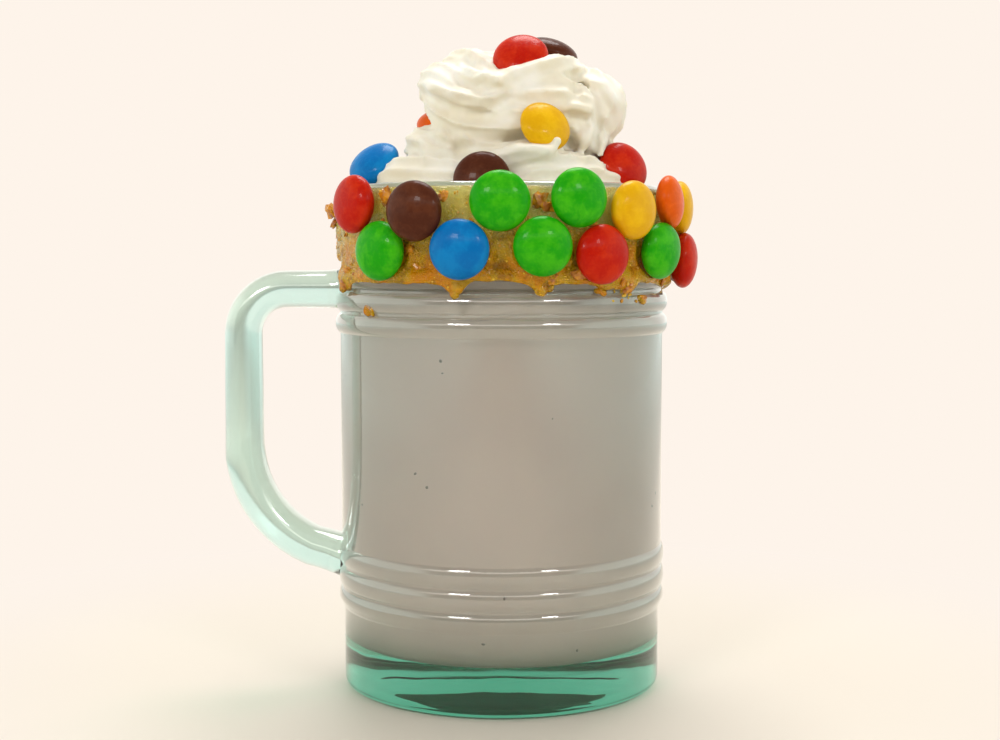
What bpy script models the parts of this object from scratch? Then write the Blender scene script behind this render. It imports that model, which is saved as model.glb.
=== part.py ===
# Milkshake in a ribbed glass mug: the glass with its handle, the shake, the piped cream on top,
# the nut and caramel sauce round the rim, and the sugar-shelled sweets stuck in sauce and cream.
# Metres, +Z up. The origin is on the mug's axis, on its underside. The handle is at -X.

import math
import random

import bmesh
import bpy
from mathutils import Matrix, Vector, noise

# Glass mug, taken in proportion to sweets 13.5 mm across
MUG_RADIUS = 0.0400
MUG_HEIGHT = 0.1240
NECK_RADIUS = 0.0397
HEEL_RADIUS = 0.0394
HEEL_ROUND = 0.0026
CAVITY_RADIUS = 0.0360
CAVITY_FLOOR = 0.0108
CAVITY_TURN = 0.0085
CAVITY_RISE = 0.0180
CAVITY_STEPS = 4
RIM_ROUND = 0.0016
MUG_STEPS = 36

# Moulded beads: three low ones above the heel, three bold ones under the neck
BEAD_HALF = 0.0022
LOW_BEADS = (0.0226, 0.0280, 0.0334)
LOW_BEAD_OUT = 0.0007
HIGH_BEADS = (0.0906, 0.0960, 0.1014)
HIGH_BEAD_OUT = 0.0012

# Underside: a shallow ring-shaped recess round a middle pad
PAD_RADIUS = 0.0095
RECESS_RADIUS = 0.0215
RECESS_DEPTH = 0.0013

# Handle: centre line in the XZ plane, from the neck down to the low beads
HANDLE_REACH = 0.0644
HANDLE_TOP = 0.0988
HANDLE_BOTTOM = 0.0318
HANDLE_THICK = 0.0094
HANDLE_WIDTH = 0.0122
HANDLE_ROOT = 0.0382
HANDLE_NECK = 0.0435
HANDLE_TOP_CORNER = 0.0110
HANDLE_MIDDLE = 0.0740
HANDLE_SWEEP_AXIS = 0.0360
HANDLE_SWEEP_TOP = 0.0600

# Contents
GAP = 0.0003
SHAKE_LEVEL = 0.1045
SHAKE_EDGE = 0.0010
CREAM_PLUG_TOP = 0.1240
CREAM_PLUG_SIDES = 96
CREAM_VOXEL = 0.0015
CREAM_SOFTENING = 2
CREAM_TRIANGLES = 2000
FOLD_STATIONS = 4

# The softened cream is pulled back to the neck's bore below the rim, by this much at most
CREAM_NECK_TOP = 0.1250
CREAM_MOUTH = 0.1210
CREAM_PULL = 0.0014
CREAM_MOUTH_EASE = 0.0002

# Sauce band stuck to the neck
SAUCE_STATIONS = 66
SAUCE_ROWS = 7
SAUCE_TOP = 0.1228
SAUCE_BOTTOM = 0.1005
SAUCE_FOOT_REACH = 0.0025
SAUCE_EDGE = 0.0003
SAUCE_THIN = 0.0009
SAUCE_LUMP = 0.0019
SAUCE_CLEAR = 0.0007
SAUCE_LUMPS_ROUND = 4.5
SAUCE_LUMPS_UP = 135.0
SAUCE_SLOPE = 4.0
SAUCE_EDGE_SHARE = 0.05

# Waves of the sauce's edges: height, waves round the mug, phase
SAUCE_LOW_WAVES = ((0.0008, 5, 1.0), (0.0006, 11, 0.0))
SAUCE_HIGH_WAVES = ((0.0004, 7, 0.0),)

# The sauce's lower edge is held up over the handle's root, and falls away beside it by so much a degree
SAUCE_OVER_HANDLE = 0.1052
SAUCE_HANDLE_HALF = 13
SAUCE_HANDLE_FALL = 0.0007

# Drips: degrees round, half-width in degrees, length
DRIPS = (
    (-66, 6, 0.0045),
    (-12, 5, 0.0040),
    (12, 6, 0.0028),
    (38, 5, 0.0040),
    (75, 7, 0.0025),
    (118, 5, 0.0045),
    (163, 7, 0.0030),
    (205, 5, 0.0050),
    (242, 6, 0.0030),
)

# Crumbs set in the sauce, a third of them by the handle as the photo shows
CRUMB_COUNT = 27
CRUMB_SEED = 11
CRUMB_TRIES = 4000
CRUMB_SMALL = 0.0011
CRUMB_LARGE = 0.0019
CRUMB_BY_HANDLE = (-104, -58)
CRUMB_OUT = 2.2
CRUMB_SPARE = 0.0005
CRUMB_SPACING = 0.0032
DEGREE_ROUND_RIM = 0.0007

# Sweets: flattened balls of two sizes across and through
SWEET_ACROSS = 0.0137
SWEET_THROUGH = 0.0069
SWEET_STEPS = 12
SWEET_RINGS = 6

RED = (0.60, 0.035, 0.020)
GREEN = (0.030, 0.400, 0.025)
BLUE = (0.010, 0.150, 0.560)
YELLOW = (0.860, 0.560, 0.015)
ORANGE = (0.850, 0.180, 0.015)
BROWN = (0.075, 0.020, 0.014)

# Rim sweets: name, colour, degrees round from the front, height, distance from the axis,
# tip up, tip round, size factor
RIM_SWEETS = (
    ("rim_red_left", RED, -50.7, 0.1190, 0.0443, 2, 0, 0.99),
    ("rim_brown", BROWN, -25.7, 0.1171, 0.0454, 0, 0, 1.00),
    ("rim_green_left", GREEN, -39.0, 0.1082, 0.0443, 0, 0, 1.00),
    ("rim_blue", BLUE, -12.1, 0.1085, 0.0449, 0, 0, 1.00),
    ("rim_green_middle", GREEN, -0.5, 0.1193, 0.0443, 2, 0, 1.00),
    ("rim_green_low", GREEN, 11.8, 0.1092, 0.0450, 0, 0, 0.99),
    ("rim_green_high", GREEN, 23.1, 0.1201, 0.0443, 3, 0, 0.99),
    ("rim_red_low", RED, 30.7, 0.1074, 0.0447, 0, 0, 1.00),
    ("rim_yellow", YELLOW, 43.1, 0.1175, 0.0443, 0, 0, 0.99),
    ("rim_orange", ORANGE, 64.8, 0.1198, 0.0442, 4, 8, 0.92),
    ("rim_green_right", GREEN, 57.0, 0.1082, 0.0446, -4, -6, 0.97),
    ("rim_yellow_side", YELLOW, 83.8, 0.1187, 0.0441, 0, 0, 0.97),
    ("rim_red_side", RED, 79.7, 0.1059, 0.0453, -3, 2, 0.98),
    ("rim_green_back_1", GREEN, 102.7, 0.1199, 0.0443, 3, 0, 0.98),
    ("rim_brown_back", BROWN, 96.9, 0.1070, 0.0449, -3, 0, 0.97),
    ("rim_blue_back_1", BLUE, 121.7, 0.1186, 0.0443, 0, 2, 1.00),
    ("rim_orange_back_1", ORANGE, 114.0, 0.1063, 0.0450, -2, 0, 0.95),
    ("rim_red_back_1", RED, 142.0, 0.1194, 0.0443, 3, 0, 0.99),
    ("rim_yellow_back_1", YELLOW, 132.6, 0.1074, 0.0448, 0, 0, 1.00),
    ("rim_brown_back_2", BROWN, 162.7, 0.1183, 0.0443, 0, 0, 0.98),
    ("rim_green_back_2", GREEN, 152.0, 0.1072, 0.0451, -3, 0, 1.00),
    ("rim_orange_back_2", ORANGE, 184.0, 0.1192, 0.0443, 2, -3, 1.00),
    ("rim_blue_back_2", BLUE, 172.9, 0.1071, 0.0448, 0, 0, 0.98),
    ("rim_yellow_back_2", YELLOW, 205.6, 0.1184, 0.0443, -2, 0, 0.97),
    ("rim_red_back_2", RED, 194.9, 0.1074, 0.0447, -3, 0, 1.00),
    ("rim_green_back_3", GREEN, 227.5, 0.1188, 0.0443, 2, 3, 0.98),
    ("rim_blue_back_3", BLUE, 217.4, 0.1072, 0.0449, 0, 0, 0.97),
)

# Sweets pressed into the cream: name, colour, place, the way their flat side faces, size factor
CREAM_SWEETS = (
    ("top_red", RED, (0.0046, -0.0118, 0.1546), (-0.14, -0.78, 0.61), 0.98),
    ("top_brown", BROWN, (0.0124, 0.0010, 0.1572), (0.30, -0.10, 0.95), 0.98),
    ("cream_yellow", YELLOW, (0.0102, -0.0235, 0.1372), (0.40, -0.75, 0.45), 0.92),
    ("cream_brown", BROWN, (-0.0045, -0.0305, 0.1245), (-0.10, -0.97, 0.20), 0.98),
    ("cream_red", RED, (0.0294, -0.0118, 0.1283), (0.50, -0.76, 0.40), 0.95),
    ("cream_blue", BLUE, (-0.0314, -0.0030, 0.1296), (-0.45, -0.55, 0.70), 0.98),
    ("cream_orange", ORANGE, (-0.0146, 0.0010, 0.1402), (-0.14, -0.28, 0.95), 0.95),
    ("cream_green_back", GREEN, (0.0060, 0.0265, 0.1370), (0.20, 0.90, 0.38), 0.98),
    ("cream_blue_back", BLUE, (-0.0195, 0.0235, 0.1300), (-0.55, 0.70, 0.45), 0.96),
)

# Piped folds of cream, each a run of stations in millimetres: x, y, z and fold radius
LOW_FOLDS = (
    ((-27.5, -2, 124.0, 5.0), (-22.5, -13, 125.2, 6.2), (-14.0, -21.5, 124.5, 6.4), (-4, -25, 124, 6.0)),
    ((-16.8, 2, 132.8, 7.6), (-13.5, -9, 131.2, 7.4), (-7.0, -17, 129.3, 6.6)),
    ((-4, -20, 128, 6.2), (5, -21.5, 128.8, 6.2), (11.0, -21.5, 130.3, 4.2), (12.6, -22, 133.6, 1.2)),
    ((8, -24, 124.5, 6.4), (18, -20.5, 125.0, 6.2), (26.5, -11.5, 124.6, 6.2), (29.5, 0, 124.5, 5.6)),
    ((28, 2, 125, 6.0), (20, 19, 126.5, 6.8), (4, 26.5, 127, 7.0), (-14, 22.5, 126.5, 7), (-27, 6, 125, 6.2)),
    ((-10, -6, 134, 9.0), (10, -8, 133.5, 10.0), (14, 8, 134, 10.0), (-8, 12, 134, 9.5), (-10, 2, 136, 8.0)),
)
HIGH_FOLDS = (
    ((-15.6, 1, 145.6, 6.3), (-14.5, -9.5, 142.3, 6.8), (-7.5, -15, 139.6, 7.0), (3, -16, 139.2, 6.6)),
    ((-15.8, -1, 149.7, 5.0), (-12.6, -9.5, 148.8, 5.2), (-6, -15.5, 145.4, 4.6), (2.5, -15, 148.3, 3.8)),
    ((-10.5, 0, 153.2, 4.8), (-7.4, -6.5, 152.8, 4.8), (-2.5, -10.5, 149.8, 4.2)),
    ((0, -13.0, 146.0, 4.6), (7, -14, 148.0, 5.2), (13.5, -10.5, 150.4, 5.2), (16.4, -2.5, 151.4, 4.8)),
    ((20.0, 3, 149.2, 5.4), (23.6, -4.5, 145.5, 6.6), (24.0, -6, 141.5, 6.6), (21.5, -7, 137.2, 5.2)),
    ((1, -13.5, 143, 6.6), (9, -14.5, 143.6, 7.0), (16, -13.2, 143.4, 6.4)),
    ((13.5, -15.5, 138.8, 4.6), (18.6, -15.0, 137.0, 3.8), (18.9, -19.5, 131.6, 1.2)),
    ((20, -10, 138, 4.6), (22.6, -12.0, 135.6, 3.4), (23.6, -16, 131.4, 1.2)),
    ((22, 2, 145, 6.4), (15.5, 13, 145.5, 7.2), (3, 17, 146.5, 7.2), (-9, 13, 147.5, 7), (-15, 3, 148, 6.0)),
    ((20, 4, 138.5, 6.4), (10, 15.5, 138, 7.0), (-5, 16.5, 138.5, 7.0), (-15, 7, 141, 6.4)),
    ((15, 2, 151.5, 5.2), (7, 8, 152.8, 5.2), (-2, 6, 153.2, 5.2), (-8.5, 1, 152.8, 5.0)),
    ((-6, 2, 144, 11.0), (4, 1, 145, 11.5), (14, 1, 144, 10.0)),
    ((10, -5, 137, 9.0), (17, -4, 136, 8.5), (20, -2, 132, 8.0)),
    ((12, -13, 134, 5.5), (19, -10.5, 133.5, 6.0), (24, -8, 131.5, 6.0)),
)


def clear_scene():
    for old in list(bpy.data.objects):
        bpy.data.objects.remove(old)


def new_collection(name):
    collection = bpy.data.collections.new(name)
    bpy.context.scene.collection.children.link(collection)
    return collection


def new_material(name, colour, roughness, transmission=0.0):
    material = bpy.data.materials.new(name)
    material.use_nodes = True
    shader = material.node_tree.nodes["Principled BSDF"]
    shader.inputs["Base Color"].default_value = (*colour, 1.0)
    shader.inputs["Roughness"].default_value = roughness
    shader.inputs["Metallic"].default_value = 0.0
    shader.inputs["Transmission Weight"].default_value = transmission
    return material


def new_object(name, mesh, material, collection):
    obj = bpy.data.objects.new(name, mesh)
    if material is not None:
        mesh.materials.append(material)
    collection.objects.link(obj)
    return obj


def make_cutter(obj):
    obj.hide_render = True
    obj.display_type = "WIRE"
    return obj


def mesh_from(name, bm, smooth_below=None):
    mesh = bpy.data.meshes.new(name)
    bm.to_mesh(mesh)
    bm.free()
    if smooth_below is not None:
        mesh.shade_smooth()
        mesh.set_sharp_from_angle(angle=math.radians(smooth_below))
    return mesh


def mesh_of_curve(name, curve_object, material, collection):
    """The curve as a mesh object with its caps welded, in place of the curve."""
    bpy.context.view_layer.update()
    graph = bpy.context.evaluated_depsgraph_get()
    mesh = bpy.data.meshes.new_from_object(curve_object.evaluated_get(graph))
    bm = bmesh.new()
    bm.from_mesh(mesh)
    bmesh.ops.remove_doubles(bm, verts=bm.verts, dist=1e-6)
    bm.to_mesh(mesh)
    bm.free()
    mesh.materials.clear()
    obj = new_object(name, mesh, material, collection)
    obj.matrix_world = curve_object.matrix_world
    bpy.data.objects.remove(curve_object)
    return obj


def apply_modifiers(obj):
    bpy.context.view_layer.update()
    graph = bpy.context.evaluated_depsgraph_get()
    mesh = bpy.data.meshes.new_from_object(obj.evaluated_get(graph))
    obj.modifiers.clear()
    obj.data = mesh


def arc(centre_r, centre_z, radius, start_deg, end_deg, count):
    """Points along an arc in the profile plane, as (radius, height)."""
    points = []
    for i in range(count + 1):
        angle = math.radians(start_deg + (end_deg - start_deg) * i / count)
        points.append((centre_r + radius * math.cos(angle), centre_z + radius * math.sin(angle)))
    return points


def turned(name, profile, steps, material, collection):
    """A profile of (radius, height) points, spun round Z. It runs down the outer side."""
    mesh = bpy.data.meshes.new(name)
    edges = [(i, i + 1) for i in range(len(profile) - 1)]
    mesh.from_pydata([(r, 0.0, z) for r, z in profile], edges, [])
    obj = new_object(name, mesh, material, collection)
    screw = obj.modifiers.new("Turn", "SCREW")
    screw.axis = "Z"
    screw.steps = steps
    screw.render_steps = steps
    screw.use_merge_vertices = True
    screw.merge_threshold = 0.00001
    screw.use_smooth_shade = True
    return obj


def bore_foot(spare, start_deg, end_deg):
    """The rounded lower corner of the bore, drawn in by a spare width, as (radius, height)."""
    corner = []
    for r, rise in arc(0.0, 0.0, 1.0, start_deg, end_deg, CAVITY_STEPS):
        radius = CAVITY_RADIUS - CAVITY_TURN + (CAVITY_TURN - spare) * r
        corner.append((radius, CAVITY_FLOOR + CAVITY_RISE + (CAVITY_RISE - spare) * rise))
    return corner


def bead_bulge(z):
    """How far the moulded beads stand out of the wall at height z."""
    for centres, out in ((LOW_BEADS, LOW_BEAD_OUT), (HIGH_BEADS, HIGH_BEAD_OUT)):
        for centre in centres:
            offset = abs(z - centre) / BEAD_HALF
            if offset < 1.0:
                return out * math.sqrt(1.0 - offset * offset)
    return 0.0


def wall_radius(z):
    """Outer radius of the glass between heel and rim, beads included."""
    if z > HIGH_BEADS[1] + BEAD_HALF:
        plain = NECK_RADIUS
    elif z < LOW_BEADS[0]:
        plain = HEEL_RADIUS
    else:
        plain = MUG_RADIUS
    return plain + bead_bulge(z)


def bead_heights(centres, parts):
    """Heights of the profile points of a set of beads, from the top down."""
    heights = []
    for centre in reversed(centres):
        heights += [centre + BEAD_HALF * part for part in parts]
    return heights


def mug_profile():
    inner_rim = CAVITY_RADIUS + RIM_ROUND
    outer_rim = NECK_RADIUS - RIM_ROUND
    lip_z = MUG_HEIGHT - RIM_ROUND
    profile = [(0.0, CAVITY_FLOOR)]
    profile += bore_foot(0.0, -90, 0)
    profile += arc(inner_rim, lip_z, RIM_ROUND, 180, 90, 3)
    profile += arc(outer_rim, lip_z, RIM_ROUND, 90, 0, 3)
    profile += [(wall_radius(z), z) for z in bead_heights(HIGH_BEADS, (1.0, 0.7, 0.0, -0.7, -1.0))]
    profile += [(wall_radius(z), z) for z in bead_heights(LOW_BEADS, (1.0, 0.5, -0.5, -1.0))]
    profile += arc(HEEL_RADIUS - HEEL_ROUND, HEEL_ROUND, HEEL_ROUND, 0, -90, 3)
    profile += [
        (RECESS_RADIUS, 0.0),
        (RECESS_RADIUS - RECESS_DEPTH, RECESS_DEPTH),
        (PAD_RADIUS + RECESS_DEPTH, RECESS_DEPTH),
        (PAD_RADIUS, 0.0),
        (0.0, 0.0),
    ]
    return profile


def handle_path():
    """Centre line of the handle as (x, z, thickness factor), from its top root to its bottom root."""
    corner = HANDLE_TOP_CORNER
    path = [(-HANDLE_ROOT, HANDLE_TOP, 1.12), (-HANDLE_NECK, HANDLE_TOP, 1.0)]
    for x, z in arc(-HANDLE_REACH + corner, HANDLE_TOP - corner, corner, 90, 180, 5):
        path.append((x, z, 0.97))
    path.append((-HANDLE_REACH, HANDLE_MIDDLE, 1.0))
    path.append((-HANDLE_REACH, HANDLE_SWEEP_TOP, 1.02))
    sweep_r = HANDLE_REACH - HANDLE_SWEEP_AXIS
    sweep_z = HANDLE_SWEEP_TOP - HANDLE_BOTTOM
    for part in (18, 36, 52, 66):
        angle = math.radians(part)
        x = -HANDLE_SWEEP_AXIS - sweep_r * math.cos(angle)
        z = HANDLE_SWEEP_TOP - sweep_z * math.sin(angle)
        path.append((x, z, 1.06))
    path.append((-HANDLE_ROOT, HANDLE_BOTTOM, 1.22))
    return path


def make_handle(collection):
    curve = bpy.data.curves.new("handle", "CURVE")
    curve.dimensions = "3D"
    curve.bevel_depth = HANDLE_THICK / 2
    curve.bevel_resolution = 3
    curve.use_fill_caps = True
    path = handle_path()
    spline = curve.splines.new("POLY")
    spline.points.add(len(path) - 1)
    for point, (x, z, factor) in zip(spline.points, path):
        point.co = (x, 0.0, z, 1.0)
        point.radius = factor
    rod = bpy.data.objects.new("handle", curve)
    rod.scale = (1.0, HANDLE_WIDTH / HANDLE_THICK, 1.0)
    collection.objects.link(rod)
    return make_cutter(mesh_of_curve("handle", rod, None, collection))


def make_mug(collection, helpers):
    glass = new_material("green_tinted_glass", (0.80, 0.93, 0.87), 0.03, 1.0)
    mug = turned("mug", mug_profile(), MUG_STEPS, glass, collection)
    join = mug.modifiers.new("Handle", "BOOLEAN")
    join.operation = "UNION"
    join.solver = "EXACT"
    join.object = make_handle(helpers)
    return mug


def make_shake(collection):
    radius = CAVITY_RADIUS - GAP
    profile = [(0.0, SHAKE_LEVEL), (radius - SHAKE_EDGE, SHAKE_LEVEL), (radius, SHAKE_LEVEL - SHAKE_EDGE)]
    profile += bore_foot(GAP, 0, -90)
    profile.append((0.0, CAVITY_FLOOR + GAP))
    taupe = new_material("milkshake", (0.45, 0.36, 0.285), 0.45)
    return turned("milkshake", profile, MUG_STEPS, taupe, collection)


def sweet_mesh(name, size):
    """A flattened ball with its flat sides facing Z."""
    across, through = size
    bm = bmesh.new()
    bmesh.ops.create_uvsphere(bm, u_segments=SWEET_STEPS, v_segments=SWEET_RINGS, radius=0.5)
    bmesh.ops.scale(bm, vec=(across, across, through), verts=bm.verts)
    return mesh_from(name, bm, 60)


def facing(direction):
    return Vector(direction).to_track_quat("Z", "Y").to_matrix().to_4x4()


def rim_sweet_matrix(degrees, height, away, tip_up, tip_round):
    angle = math.radians(degrees)
    place = Vector((math.sin(angle) * away, -math.cos(angle) * away, height))
    turned_angle = math.radians(degrees + tip_round)
    tip = math.radians(tip_up)
    out = (
        math.sin(turned_angle) * math.cos(tip),
        -math.cos(turned_angle) * math.cos(tip),
        math.sin(tip),
    )
    return Matrix.Translation(place) @ facing(out)


def rim_sweets():
    """The sweets round the rim as (name, colour, matrix, size factor)."""
    sweets = []
    for name, colour, degrees, height, away, tip_up, tip_round, factor in RIM_SWEETS:
        matrix = rim_sweet_matrix(degrees, height, away, tip_up, tip_round)
        sweets.append((name, colour, matrix, factor))
    return sweets


def cream_sweets():
    """The sweets in the cream as (name, colour, matrix, size factor)."""
    sweets = []
    for name, colour, place, direction, factor in CREAM_SWEETS:
        sweets.append((name, colour, Matrix.Translation(Vector(place)) @ facing(direction), factor))
    return sweets


def make_sweets(collection):
    shells = {}
    for name, colour, matrix, factor in rim_sweets() + cream_sweets():
        if colour not in shells:
            shells[colour] = new_material("shell_" + name.split("_")[1], colour, 0.3)
        size = (SWEET_ACROSS * factor, SWEET_THROUGH * factor)
        obj = new_object(name, sweet_mesh(name, size), shells[colour], collection)
        obj.matrix_world = matrix


def fold_points(stations):
    """Smooth points along a fold, in metres: (place, radius), with both ends rounded off."""
    points = []
    last = len(stations) - 1
    for i in range(last):
        around = [stations[max(0, min(last, i + k))] for k in (-1, 0, 1, 2)]
        for step in range(FOLD_STATIONS + (i == last - 1)):
            t = step / FOLD_STATIONS
            values = []
            for a, b, c, d in zip(*around):
                turn = 2 * a - 5 * b + 4 * c - d
                swing = 3 * b - a - 3 * c + d
                values.append(0.0005 * (2 * b + (c - a) * t + turn * t * t + swing * t * t * t))
            points.append((Vector(values[:3]), values[3]))
    return round_end(round_end(points)[::-1])


def round_end(points):
    """The points with a dome added after the last one."""
    place, radius = points[-1]
    way = (place - points[-2][0]).normalized()
    dome = [(place + way * radius * along, radius * wide) for along, wide in ((0.55, 0.83), (0.92, 0.39))]
    return points + dome


def make_fold(name, stations, collection):
    curve = bpy.data.curves.new(name, "CURVE")
    curve.dimensions = "3D"
    curve.bevel_depth = 1.0
    curve.bevel_resolution = 4
    curve.use_fill_caps = True
    points = fold_points(stations)
    spline = curve.splines.new("POLY")
    spline.points.add(len(points) - 1)
    for point, (place, radius) in zip(spline.points, points):
        point.co = (*place, 1.0)
        point.radius = radius
    fold = bpy.data.objects.new(name, curve)
    collection.objects.link(fold)
    return mesh_of_curve(name, fold, None, collection)


def join_meshes(name, objects, material, collection):
    bm = bmesh.new()
    for obj in objects:
        bm.from_mesh(obj.data)
        bpy.data.objects.remove(obj)
    return new_object(name, mesh_from(name, bm), material, collection)


def make_cream_plug(collection):
    """The cream that fills the neck, from the shake up to the swirl."""
    radius = CAVITY_RADIUS - GAP
    bm = bmesh.new()
    bmesh.ops.create_cone(
        bm, cap_ends=True, segments=CREAM_PLUG_SIDES, radius1=radius, radius2=radius,
        depth=CREAM_PLUG_TOP - SHAKE_LEVEL - GAP,
    )
    middle = (CREAM_PLUG_TOP + SHAKE_LEVEL + GAP) / 2
    bmesh.ops.translate(bm, vec=(0.0, 0.0, middle), verts=bm.verts)
    return new_object("cream_plug", mesh_from("cream_plug", bm), None, collection)


def make_cream(collection, helpers):
    pieces = [make_cream_plug(helpers)]
    for i, stations in enumerate(LOW_FOLDS + HIGH_FOLDS):
        pieces.append(make_fold("fold_%02d" % i, stations, helpers))
    white = new_material("whipped_cream", (0.90, 0.87, 0.80), 0.55)
    cream = join_meshes("whipped_cream", pieces, white, collection)
    remesh = cream.modifiers.new("One skin", "REMESH")
    remesh.mode = "VOXEL"
    remesh.voxel_size = CREAM_VOXEL
    smooth = cream.modifiers.new("Soften", "SMOOTH")
    smooth.factor = 0.5
    smooth.iterations = CREAM_SOFTENING
    apply_modifiers(cream)
    fewer = cream.modifiers.new("Fewer faces", "DECIMATE")
    fewer.ratio = CREAM_TRIANGLES / (2 * len(cream.data.polygons))
    apply_modifiers(cream)
    fit_cream_in_neck(cream.data)
    cut = cream.modifiers.new("Sweet pockets", "BOOLEAN")
    cut.operation = "DIFFERENCE"
    cut.solver = "EXACT"
    cut.operand_type = "COLLECTION"
    cut.collection = make_pockets(helpers)
    return cream


def fit_cream_in_neck(mesh):
    """Keeps the softened cream inside the neck and above the shake."""
    bore = CAVITY_RADIUS - GAP
    for vertex in mesh.vertices:
        limit = bore if vertex.co.z < CREAM_MOUTH else bore - CREAM_MOUTH_EASE
        radius = math.hypot(vertex.co.x, vertex.co.y)
        if vertex.co.z < CREAM_NECK_TOP and radius > bore - CREAM_PULL:
            vertex.co.x *= limit / radius
            vertex.co.y *= limit / radius
        vertex.co.z = max(vertex.co.z, SHAKE_LEVEL + GAP)


def make_pockets(helpers):
    """Cutters a gap larger than the sweets that lie in the cream."""
    pockets = bpy.data.collections.new("sweet pockets")
    helpers.children.link(pockets)
    for name, _, matrix, factor in cream_sweets():
        size = (SWEET_ACROSS * factor + 2 * GAP, SWEET_THROUGH * factor + 2 * GAP)
        pocket = new_object("pocket_" + name, sweet_mesh("pocket_" + name, size), None, pockets)
        pocket.matrix_world = matrix
        make_cutter(pocket)
    return pockets


def sauce_inner(z, reach):
    """Radius that clears the glass by a gap from this far below the height to this far above it."""
    near = max(wall_radius(z + reach * part) for part in (-1.0, -0.5, 0.0, 0.5, 1.0))
    return near + GAP


def turn_between(degrees, other):
    """Signed angle from one bearing to another, in degrees, from -180 to 180."""
    return (degrees - other + 180) % 360 - 180


def waves(rows, degrees):
    """Sum of the waves at this bearing."""
    return sum(size * math.sin(count * math.radians(degrees) + phase) for size, count, phase in rows)


def sauce_bottom(degrees):
    """Height of the sauce's wavy lower edge, with its drips."""
    edge = SAUCE_BOTTOM + waves(SAUCE_LOW_WAVES, degrees)
    for centre, width, length in DRIPS:
        edge -= length * math.exp(-((turn_between(degrees, centre) / width) ** 2))
    beside = max(0.0, abs(turn_between(degrees, -90)) - SAUCE_HANDLE_HALF)
    return max(edge, SAUCE_OVER_HANDLE - SAUCE_HANDLE_FALL * beside)


def clear_of_sweets(degrees, z, radius, sweets, clearance):
    """The largest radius, up to the one given, that stays clear of the rim sweets at this place."""
    angle = math.radians(degrees)
    out = Vector((math.sin(angle), -math.cos(angle), 0.0))
    for _, _, matrix, factor in sweets:
        inverse = matrix.inverted()
        start = inverse @ Vector((0.0, 0.0, z))
        way = inverse.to_3x3() @ out
        across = SWEET_ACROSS * factor / 2 + clearance
        through = SWEET_THROUGH * factor / 2 + clearance
        start = Vector((start.x / across, start.y / across, start.z / through))
        way = Vector((way.x / across, way.y / across, way.z / through))
        a = way.dot(way)
        b = 2 * start.dot(way)
        c = start.dot(start) - 1.0
        inside = b * b - 4 * a * c
        if inside > 0.0:
            near = (-b - math.sqrt(inside)) / (2 * a)
            if near > 0.0:
                radius = min(radius, near)
    return radius


def sauce_ring(degrees, sweets):
    """The skin's outline on one bearing, as (radius, height): up the glass side, then down the outside."""
    angle = math.radians(degrees)
    low = sauce_bottom(degrees)
    high = SAUCE_TOP + waves(SAUCE_HIGH_WAVES, degrees)
    over_bead = HIGH_BEADS[-1] + BEAD_HALF + GAP
    foot = sauce_inner(low, SAUCE_FOOT_REACH)
    bead = wall_radius(HIGH_BEADS[-1]) + GAP
    neck = NECK_RADIUS + GAP
    ring = [(foot, low), (bead, over_bead), (neck, over_bead + GAP), (neck, high)]
    for row in range(SAUCE_ROWS):
        part = 1.0 - row / (SAUCE_ROWS - 1)
        z = low + (high - low) * part
        inner = neck
        if z < over_bead + SAUCE_LUMP:
            inner = bead + (foot - bead) * max(0.0, (over_bead - z) / (over_bead - low))
        round_mug = Vector((math.sin(angle), math.cos(angle), 0.0)) * SAUCE_LUMPS_ROUND
        lump = 0.5 + 0.5 * noise.noise(round_mug + Vector((0.0, 0.0, z * SAUCE_LUMPS_UP)))
        edge = min(1.0, SAUCE_SLOPE * min(part, 1.0 - part) + SAUCE_EDGE_SHARE)
        full = inner + SAUCE_EDGE + edge * (SAUCE_THIN + SAUCE_LUMP * lump)
        free = clear_of_sweets(degrees, z, full, sweets, SAUCE_CLEAR)
        ring.append((max(inner + SAUCE_EDGE, free), z))
    return ring


def make_sauce_skin(collection):
    """A ring-shaped skin on the neck, thick between the sweets and thin under them."""
    sweets = rim_sweets()
    bm = bmesh.new()
    rings = []
    for i in range(SAUCE_STATIONS):
        degrees = 360.0 * i / SAUCE_STATIONS
        angle = math.radians(degrees)
        ring = sauce_ring(degrees, sweets)
        rings.append([bm.verts.new((r * math.sin(angle), -r * math.cos(angle), z)) for r, z in ring])
    count = len(rings[0])
    for i in range(SAUCE_STATIONS):
        here, there = rings[i], rings[(i + 1) % SAUCE_STATIONS]
        for j in range(count):
            k = (j + 1) % count
            bm.faces.new((here[j], here[k], there[k], there[j]))
    bmesh.ops.recalc_face_normals(bm, faces=bm.faces)
    bmesh.ops.triangulate(bm, faces=bm.faces)
    amber = new_material("nut_caramel_sauce", (0.55, 0.23, 0.03), 0.3)
    return new_object("rim_sauce", mesh_from("rim_sauce", bm, 70), amber, collection)


def crumb_places():
    """Bearing, height and size of each crumb, on sauce that no sweet covers."""
    draw = random.Random(CRUMB_SEED)
    sweets = rim_sweets()
    places = []
    tries = 0
    while len(places) < CRUMB_COUNT and tries < CRUMB_TRIES:
        tries += 1
        degrees = draw.uniform(0, 360)
        if len(places) < CRUMB_COUNT // 3:
            degrees = draw.uniform(*CRUMB_BY_HANDLE)
        size = draw.uniform(CRUMB_SMALL, CRUMB_LARGE)
        z = draw.uniform(sauce_bottom(degrees) + size, SAUCE_TOP - size)
        reach = sauce_inner(z, size) + CRUMB_OUT * size
        if clear_of_sweets(degrees, z, reach, sweets, size + CRUMB_SPARE) < reach:
            continue
        aside = [abs(degrees - d) * DEGREE_ROUND_RIM + abs(z - other_z) for d, other_z, _ in places]
        if min(aside, default=CRUMB_SPACING) >= CRUMB_SPACING:
            places.append((degrees, z, size))
    return places


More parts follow.
